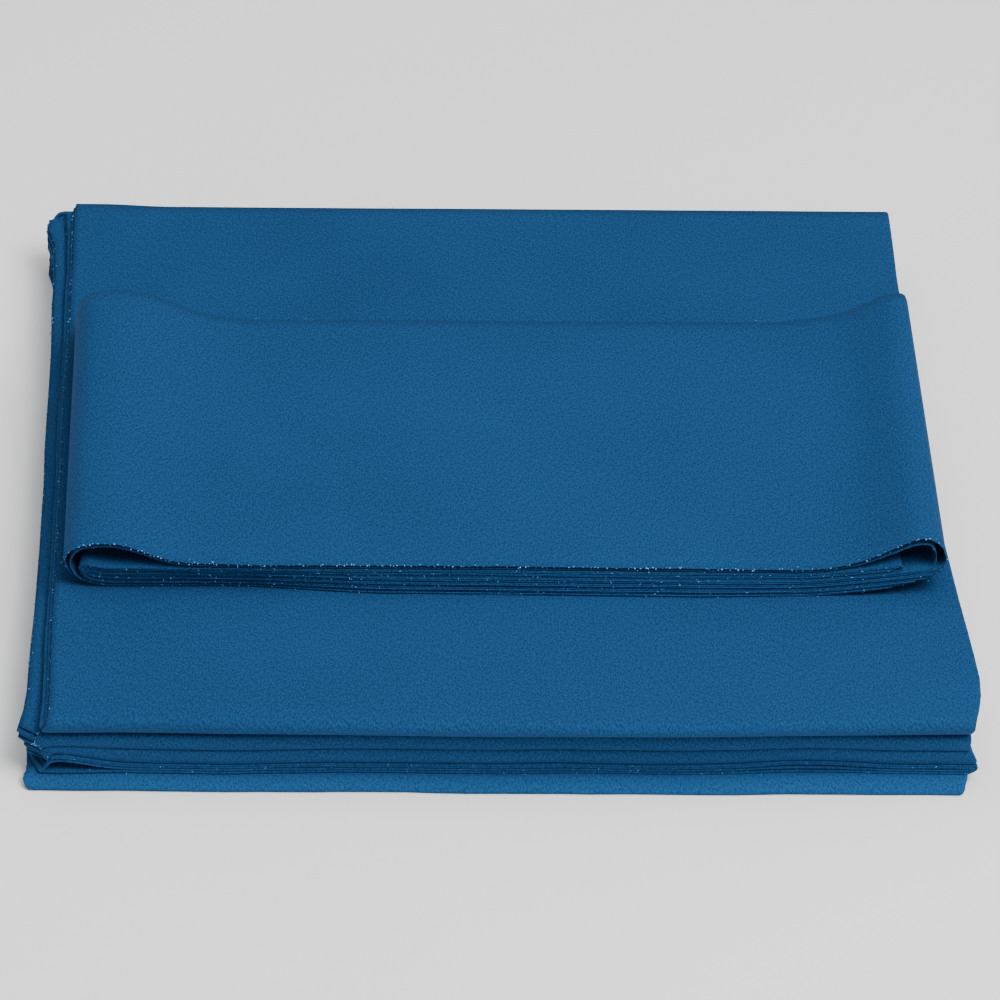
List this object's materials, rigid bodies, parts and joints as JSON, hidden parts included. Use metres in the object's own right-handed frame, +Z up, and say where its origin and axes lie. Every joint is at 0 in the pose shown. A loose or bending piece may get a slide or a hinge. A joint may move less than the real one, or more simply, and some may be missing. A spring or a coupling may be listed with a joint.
{
  "type": "folded game table cloth set",
  "caption": "Blue worsted bed cloth folded into a flat stack, with a bundle of rail cloth strips folded together and laid on top.",
  "frame": {"origin": "middle of the folded bed cloth, on the surface that it lies on", "axes": "+X to the right along the long side, +Y to the back, +Z up through the stack"},
  "size_m": [0.375, 0.35, 0.0619],
  "materials": {
    "bed_cloth": "blue worsted wool blend, fine twill with a short nap",
    "rail_cloth": "the same blue worsted, cut into strips with raw edges"
  },
  "bodies": {
    "bed_base": {"bed_cloth_lower_folds": "bed_cloth"},
    "bed_leaf": {"bed_cloth_top_leaf": "bed_cloth"},
    "bundle_lower": {"rail_strip_1_lower": "rail_cloth", "rail_strip_2_lower": "rail_cloth", "rail_strip_3_lower": "rail_cloth", "rail_strip_4_lower": "rail_cloth", "rail_strip_5_lower": "rail_cloth", "rail_strip_6_lower": "rail_cloth"},
    "bundle_upper": {"rail_strip_1_upper": "rail_cloth", "rail_strip_2_upper": "rail_cloth", "rail_strip_3_upper": "rail_cloth", "rail_strip_4_upper": "rail_cloth", "rail_strip_5_upper": "rail_cloth", "rail_strip_6_upper": "rail_cloth"}
  },
  "joints": [
    {"name": "top_leaf_fold", "type": "hinge", "parent": "bed_base", "child": "bed_leaf", "pos_m": [0, -0.17115, 0.03215], "axis": [1, 0, 0], "range_deg": [0, 30]},
    {"name": "bundle_lift", "type": "slide", "parent": "bed_leaf", "child": "bundle_lower", "axis": [0, 0, 1], "range_m": [0, 0.15]},
    {"name": "bundle_fold", "type": "hinge", "parent": "bundle_lower", "child": "bundle_upper", "pos_m": [-0.16532, -0.0115, 0.04398], "axis": [0, -1, 0], "range_deg": [0, 90]}
  ]
}
